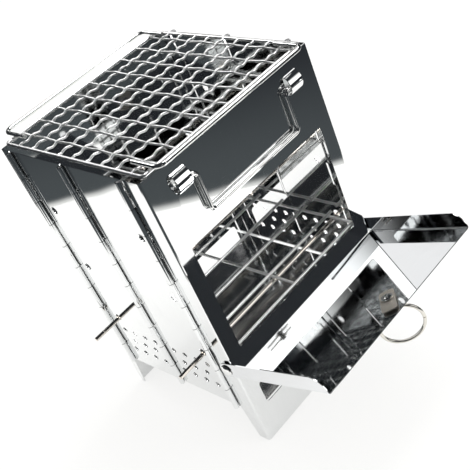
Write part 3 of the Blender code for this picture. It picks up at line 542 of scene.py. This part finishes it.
def make_net_tree():
    tree = bpy.data.node_groups.new("crimped_wires", "GeometryNodeTree")
    tree.is_modifier = True
    sockets(tree, "INPUT", [
        ("Geometry", "Geometry", None), ("Wires", "Int", 9), ("First Wire", "Float", 0.0108),
        ("Wire Pitch", "Float", 0.0142), ("Length", "Float", 0.1402),
        ("First Crimp", "Float", 0.0125), ("Crimp Step", "Float", 0.005),
        ("Crimp", "Float", 0.00055), ("Kink", "Float", 1.0), ("Wire Radius", "Float", 0.0008),
        ("Samples", "Int", 200), ("Sides", "Int", 10), ("Steel", "Material", None),
    ])
    sockets(tree, "OUTPUT", [("Geometry", "Geometry", None)])
    given = put(tree, "NodeGroupInput").outputs
    end = put(tree, "ShaderNodeCombineXYZ", X=given["Length"]).outputs[0]
    line = put(tree, "GeometryNodeCurvePrimitiveLine", End=end)
    line = put(
        tree, "GeometryNodeResampleCurve", {"mode": "COUNT"}, Curve=line.outputs[0],
        Count=given["Samples"])
    start = put(tree, "ShaderNodeCombineXYZ", Y=given["First Wire"]).outputs[0]
    step = put(tree, "ShaderNodeCombineXYZ", Y=given["Wire Pitch"]).outputs[0]
    places = put(
        tree, "GeometryNodeMeshLine", {"mode": "OFFSET", "count_mode": "TOTAL"},
        Count=given["Wires"], Start_Location=start, Offset=step)
    placed = put(
        tree, "GeometryNodeInstanceOnPoints", Points=places.outputs[0], Instance=line.outputs[0])
    real = put(tree, "GeometryNodeRealizeInstances", Geometry=placed.outputs[0])
    position = put(tree, "GeometryNodeInputPosition").outputs[0]
    where = put(tree, "ShaderNodeSeparateXYZ", Vector=position).outputs
    wire = reckon(tree, "SUBTRACT", where["Y"], given["First Wire"])
    wire = reckon(tree, "DIVIDE", wire, given["Wire Pitch"])
    swing = reckon(tree, "SUBTRACT", where["X"], given["First Crimp"])
    swing = reckon(tree, "DIVIDE", swing, given["Crimp Step"])
    along_wire = reckon(tree, "COSINE", reckon(tree, "MULTIPLY", swing, math.pi))
    every_other = reckon(tree, "COSINE", reckon(tree, "MULTIPLY", wire, math.pi))
    wave = reckon(tree, "MULTIPLY", along_wire, every_other)
    sharp = reckon(tree, "POWER", reckon(tree, "ABSOLUTE", wave), given["Kink"])
    sharp = reckon(tree, "MULTIPLY", sharp, reckon(tree, "SIGN", wave))
    far_end = reckon(tree, "SUBTRACT", given["Length"], where["X"])
    near_end = reckon(tree, "MINIMUM", where["X"], far_end)
    fade = put(tree, "ShaderNodeMapRange", Value=near_end, From_Min=0.0012, From_Max=0.004).outputs[0]
    rise = reckon(tree, "MULTIPLY", reckon(tree, "MULTIPLY", sharp, given["Crimp"]), fade)
    lift = put(tree, "ShaderNodeCombineXYZ", Z=rise).outputs[0]
    crimped = put(tree, "GeometryNodeSetPosition", Geometry=real.outputs[0], Offset=lift)
    round_wire = put(
        tree, "GeometryNodeCurvePrimitiveCircle", {"mode": "RADIUS"}, Resolution=given["Sides"],
        Radius=given["Wire Radius"])
    drawn = put(
        tree, "GeometryNodeCurveToMesh", Curve=crimped.outputs[0], Profile_Curve=round_wire.outputs[0])
    drawn.inputs["Fill Caps"].default_value = True
    whole = put(tree, "GeometryNodeRealizeInstances", Geometry=drawn.outputs[0])
    coated = put(tree, "GeometryNodeSetMaterial", Geometry=whole.outputs[0], Material=given["Steel"])
    put(tree, "NodeGroupOutput", Geometry=coated.outputs[0])
    return tree


CRIMPED_WIRES = make_net_tree()
NET_LEVEL = 0.222
NET_LEFT, NET_FRONT = -0.0701, 0.0005
NET_WIDTH, NET_DEPTH = 0.1402, 0.1376
FIRST_ACROSS, PITCH_ACROSS = 0.0122, 0.01505
FIRST_ALONG, PITCH_ALONG = 0.0108, 0.0142
CRIMP_SHIFT, CRIMP_DEPTH = 0.0003, 0.00055
NET_FRAME_WIRE, NET_FRAME_BEND = 0.0012, 0.002

wires_across = grown(CRIMPED_WIRES, {
    "First Wire": FIRST_ALONG, "Wire Pitch": PITCH_ALONG, "Length": NET_WIDTH,
    "First Crimp": FIRST_ACROSS + CRIMP_SHIFT, "Crimp Step": PITCH_ACROSS / 3,
    "Crimp": CRIMP_DEPTH, "Samples": 225, "Steel": wire_steel,
})
wires_across.transform(Matrix.Translation((NET_LEFT, NET_FRONT, NET_LEVEL)))
wires_along = grown(CRIMPED_WIRES, {
    "First Wire": FIRST_ACROSS, "Wire Pitch": PITCH_ACROSS, "Length": NET_DEPTH,
    "First Crimp": FIRST_ALONG + CRIMP_SHIFT, "Crimp Step": PITCH_ALONG,
    "Crimp": -CRIMP_DEPTH, "Kink": 2.5, "Samples": 161, "Steel": wire_steel,
})
x_and_y_swapped = Matrix((
    (0, 1, 0, NET_LEFT), (1, 0, 0, NET_FRONT), (0, 0, 1, NET_LEVEL), (0, 0, 0, 1),
))
wires_along.transform(x_and_y_swapped)
frame_path = [
    (x * NET_WIDTH / 2, NET_FRONT + y * NET_DEPTH, NET_LEVEL)
    for x, y in ((-1, 0), (1, 0), (1, 1), (-1, 1))
]
net_frame = wire_mesh([frame_path], NET_FRAME_WIRE, NET_FRAME_BEND, wire_steel, closed=True)
net = finished_wire([wires_across, wires_along, net_frame], "net_of_wire", wire_steel)
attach(net, "net_body")
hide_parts("cooking_net")

# ---------------------------------------------------------------- net handles
# Two polished wires, each bent to a flat U, lie on the net. Their legs reach in
# over its frame and are welded to it.

HANDLE_HALF, HANDLE_LEVEL, HANDLE_BEND = 0.0635, 0.22515, 0.005
LEG_INWARD, GRIP_OUTWARD = 0.0144, 0.0088
for place, edge, outward in (("front", NET_FRONT, -1), ("rear", NET_FRONT + NET_DEPTH, 1)):
    leg = edge - outward * LEG_INWARD
    grip = edge + outward * GRIP_OUTWARD
    path = [
        (x, y, HANDLE_LEVEL) for x, y in
        ((-HANDLE_HALF, leg), (-HANDLE_HALF, grip), (HANDLE_HALF, grip), (HANDLE_HALF, leg))
    ]
    handle = finished_wire(
        [wire_mesh([path], THICK_WIRE, HANDLE_BEND, handle_steel)],
        f"{place}_handle_wire", handle_steel)
    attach(handle, "net_body")
    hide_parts(f"{place}_net_handle")

# ---------------------------------------------------------------- studio
# The grill stands on white paper, 0.7 m wide, that runs along the camera's line
# from a little in front of it and rises behind. Beyond the paper the room is
# dark, which only metal shows.


def bare_material(name):
    made = bpy.data.materials.new(name)
    made.use_nodes = True
    made.node_tree.nodes.clear()
    return made


def plain_glow(name, colour):
    made = bare_material(name)
    glow = put(made.node_tree, "ShaderNodeEmission", Color=colour, Strength=1.0)
    put(made.node_tree, "ShaderNodeOutputMaterial", Surface=glow.outputs[0])
    return made


def stage_mesh(name, verts, faces, material):
    mesh = bpy.data.meshes.new(name)
    mesh.from_pydata(verts, [], faces)
    mesh.materials.append(material)
    made = bpy.data.objects.new(name, mesh)
    bpy.context.scene.collection.objects.link(made)
    return made


# Paper that is part emission for the camera and for metal, so that it stays
# white under weak lamps and still takes the grill's shadow
PAPER_TO_CAMERA, PAPER_TO_METAL, METAL_SEES_BRIGHTER = 0.8, 0.45, 0.12
paper = bare_material("paper")
tree = paper.node_tree
matt = put(tree, "ShaderNodeBsdfDiffuse", Color=(0.96, 0.955, 0.94, 1))
path_kind = put(tree, "ShaderNodeLightPath").outputs
level = reckon(tree, "MULTIPLY_ADD", path_kind["Is Glossy Ray"], METAL_SEES_BRIGHTER, 1.0)
lit = put(tree, "ShaderNodeEmission", Color=(1, 1, 0.99, 1), Strength=level)
to_camera = reckon(tree, "MULTIPLY", path_kind["Is Camera Ray"], PAPER_TO_CAMERA)
to_metal = reckon(tree, "MULTIPLY", path_kind["Is Glossy Ray"], PAPER_TO_METAL)
mixed = put(tree, "ShaderNodeMixShader", Fac=reckon(tree, "MAXIMUM", to_camera, to_metal))
join(tree, matt.outputs[0], mixed.inputs[1])
join(tree, lit.outputs[0], mixed.inputs[2])
put(tree, "ShaderNodeOutputMaterial", Surface=mixed.outputs[0])
FLOOR_REACH = 6.0
stage_mesh("floor", [
    (-FLOOR_REACH, -FLOOR_REACH, 0), (FLOOR_REACH, -FLOOR_REACH, 0),
    (FLOOR_REACH, FLOOR_REACH, 0), (-FLOOR_REACH, FLOOR_REACH, 0),
], [(0, 1, 2, 3)], paper)

# The camera's line on the floor, the line across it, and how far the paper
# reaches along them from the frame's origin
LOOK = Vector((0.618, 0.786, 0))
ACROSS = Vector((0.786, -0.618, 0))
PAPER_LEFT, PAPER_RIGHT, PAPER_NEAR = -0.44, 0.261, -0.24

# The room's light falls away from the paper's edges
dark_room = bare_material("dark_room")
tree = dark_room.node_tree
place = put(tree, "ShaderNodeTexCoord").outputs["Object"]
across = put(tree, "ShaderNodeVectorMath", {"operation": "DOT_PRODUCT"})
join(tree, place, across.inputs[0])
across.inputs[1].default_value = ACROSS
middle = (PAPER_LEFT + PAPER_RIGHT) / 2
beyond = reckon(tree, "ABSOLUTE", reckon(tree, "SUBTRACT", across.outputs["Value"], middle))
beyond = reckon(tree, "SUBTRACT", beyond, (PAPER_RIGHT - PAPER_LEFT) / 2)
along = put(tree, "ShaderNodeVectorMath", {"operation": "DOT_PRODUCT"})
join(tree, place, along.inputs[0])
along.inputs[1].default_value = LOOK
nearer = reckon(tree, "SUBTRACT", PAPER_NEAR, along.outputs["Value"])
fall = put(tree, "ShaderNodeValToRGB", Fac=reckon(tree, "MAXIMUM", beyond, nearer))
ramp = fall.color_ramp
ramp.interpolation = "EASE"
ramp.elements[0].position, ramp.elements[0].color = 0.0, (0.9, 0.9, 0.88, 1)
ramp.elements[1].position, ramp.elements[1].color = 0.014, (0.075, 0.085, 0.09, 1)
late = ramp.elements.new(0.30)
late.color = (0.028, 0.031, 0.036, 1)
glow = put(tree, "ShaderNodeEmission", Color=fall.outputs[0], Strength=1.0)
put(tree, "ShaderNodeOutputMaterial", Surface=glow.outputs[0])

ceiling_cloth = plain_glow("ceiling_cloth", (0.030, 0.033, 0.037, 1))
white_card = plain_glow("white_card", (1, 1, 1, 1))


def seen_by_metal_only(obj):
    obj.visible_camera = False
    obj.visible_diffuse = False
    obj.visible_shadow = False
    obj.visible_transmission = False
    obj.visible_volume_scatter = False


# Cloths just above the paper on its left, its right and in front
LIFT = Vector((0, 0, 0.0002))
CLOTH_REACH = 3.0
cloths = []
for name, start, stop, nearest, farthest in (
    ("cloth_0", PAPER_LEFT, -CLOTH_REACH, -CLOTH_REACH, CLOTH_REACH),
    ("cloth_1", PAPER_RIGHT, CLOTH_REACH, -CLOTH_REACH, CLOTH_REACH),
    ("near_cloth", PAPER_LEFT, PAPER_RIGHT, -CLOTH_REACH, PAPER_NEAR),
):
    corners = [
        ACROSS * sideways + LOOK * ahead + LIFT for sideways, ahead in
        ((start, nearest), (stop, nearest), (stop, farthest), (start, farthest))
    ]
    cloths.append(stage_mesh(name, corners, [(0, 1, 2, 3)], dark_room))

# A dark dome over the room, in rings round its top
rings, spokes, room = 12, 32, 2.6
verts = [(0, 0, room)]
for ring_index in range(1, rings + 1):
    tilt = math.pi / 2 * ring_index / rings
    for spoke in range(spokes):
        turn = 2 * math.pi * spoke / spokes
        verts.append((
            room * math.sin(tilt) * math.cos(turn), room * math.sin(tilt) * math.sin(turn),
            room * math.cos(tilt)))
faces = [(0, 1 + spoke, 1 + (spoke + 1) % spokes) for spoke in range(spokes)]
for ring_index in range(rings - 1):
    upper = 1 + ring_index * spokes
    lower = upper + spokes
    for spoke in range(spokes):
        beside = (spoke + 1) % spokes
        faces.append((upper + spoke, lower + spoke, lower + beside, upper + beside))
cloths.append(stage_mesh("dark_ceiling", verts, faces, ceiling_cloth))

# The paper where it rises behind the grill
SWEEP_AHEAD, SWEEP_HEIGHT = 1.5, 0.9
sweep = [LOOK * SWEEP_AHEAD + ACROSS * PAPER_LEFT, LOOK * SWEEP_AHEAD + ACROSS * PAPER_RIGHT]
sweep_top = [corner + Vector((0, 0, SWEEP_HEIGHT)) for corner in reversed(sweep)]
cloths.append(stage_mesh("paper_sweep", sweep + sweep_top, [(0, 1, 2, 3)], white_card))


# Two cards in front as the metal shows them, white and fading out to one end:
# each has its two ends on the floor plan, its heights and its fade, from and to
def soft_card(name, ends, low, high, white_x, dark_x):
    material = bare_material(name)
    tree = material.node_tree
    place = put(tree, "ShaderNodeTexCoord").outputs["Object"]
    sideways = put(tree, "ShaderNodeSeparateXYZ", Vector=place).outputs["X"]
    fade = put(
        tree, "ShaderNodeMapRange", {"interpolation_type": "SMOOTHSTEP"}, Value=sideways,
        From_Min=white_x, From_Max=dark_x, To_Min=1.8, To_Max=0.05)
    glow = put(tree, "ShaderNodeEmission", Color=(1, 1, 0.99, 1), Strength=fade.outputs[0])
    put(tree, "ShaderNodeOutputMaterial", Surface=glow.outputs[0])
    corners = [(x, y, low) for x, y in ends] + [(x, y, high) for x, y in reversed(ends)]
    return stage_mesh(name, corners, [(0, 1, 2, 3)], material)


cloths.append(soft_card(
    "front_card", [(0.30, -1.04), (0.84, -0.78)], low=0.19, high=0.81, white_x=0.66, dark_x=0.84))
cloths.append(soft_card(
    "left_card", [(-0.62, -0.874), (-0.41, -0.946)],
    low=0.22, high=0.46, white_x=-0.44, dark_x=-0.60))
for cloth in cloths:
    seen_by_metal_only(cloth)


GRILL_MIDDLE = Vector((0, 0.07, 0.12))


# Soft boxes, each at its place and facing the grill
def soft_box(name, place, size, power):
    lamp = bpy.data.lights.new(name, "AREA")
    lamp.shape = "RECTANGLE"
    lamp.size, lamp.size_y = size
    lamp.energy = power
    made = bpy.data.objects.new(name, lamp)
    bpy.context.scene.collection.objects.link(made)
    made.location = place
    made.rotation_euler = (GRILL_MIDDLE - Vector(place)).to_track_quat("-Z", "Y").to_euler()
    return made


front_box = soft_box("front_box", place=(0.50, -0.95, 0.50), size=(0.42, 0.62), power=4.0)
front_box.visible_glossy = False
soft_box("right_box", place=(0.62, 0.07, 1.15), size=(0.5, 0.9), power=9.0)
soft_box("rear_box", place=(0.0, 1.0, 1.1), size=(0.35, 0.5), power=3.0)

world = bpy.data.worlds.new("studio")
bpy.context.scene.world = world
world.use_nodes = True
tree = world.node_tree
tree.nodes.clear()
path_kind = put(tree, "ShaderNodeLightPath").outputs
through = reckon(tree, "MAXIMUM", path_kind["Is Glossy Ray"], path_kind["Is Transmission Ray"])
seen = reckon(tree, "MAXIMUM", path_kind["Is Camera Ray"], through)
white = put(tree, "ShaderNodeBackground", Color=(1, 1, 1, 1), Strength=1.0)
fill = put(tree, "ShaderNodeBackground", Color=(1, 1, 1, 1), Strength=0.9)
both = put(tree, "ShaderNodeMixShader", Fac=seen)
join(tree, fill.outputs[0], both.inputs[1])
join(tree, white.outputs[0], both.inputs[2])
put(tree, "ShaderNodeOutputWorld", Surface=both.outputs[0])

# ---------------------------------------------------------------- camera
# The camera looks down at the front left corner and is turned on its line of
# sight, as the photograph was.

camera = bpy.data.objects.new("camera", bpy.data.cameras.new("camera"))
bpy.context.scene.collection.objects.link(camera)
bpy.context.scene.camera = camera
camera.data.lens = 68.76
camera.data.sensor_width = 36
camera.data.shift_x = -0.164
camera.data.shift_y = 0.0433
camera.data.clip_start = 0.01
view_right = Vector((0.597, -0.747, -0.294)).normalized()
view_line = Vector((0.496, 0.631, -0.596)).normalized()
view_up = view_right.cross(view_line).normalized()
view_right = view_line.cross(view_up).normalized()
turned = Matrix((view_right, view_up, -view_line)).transposed().to_4x4()
CAMERA_PLACE = Vector((-0.283, -0.3833, 0.453))
camera.matrix_world = Matrix.Translation(CAMERA_PLACE) @ turned

bpy.context.scene.view_settings.view_transform = "Standard"
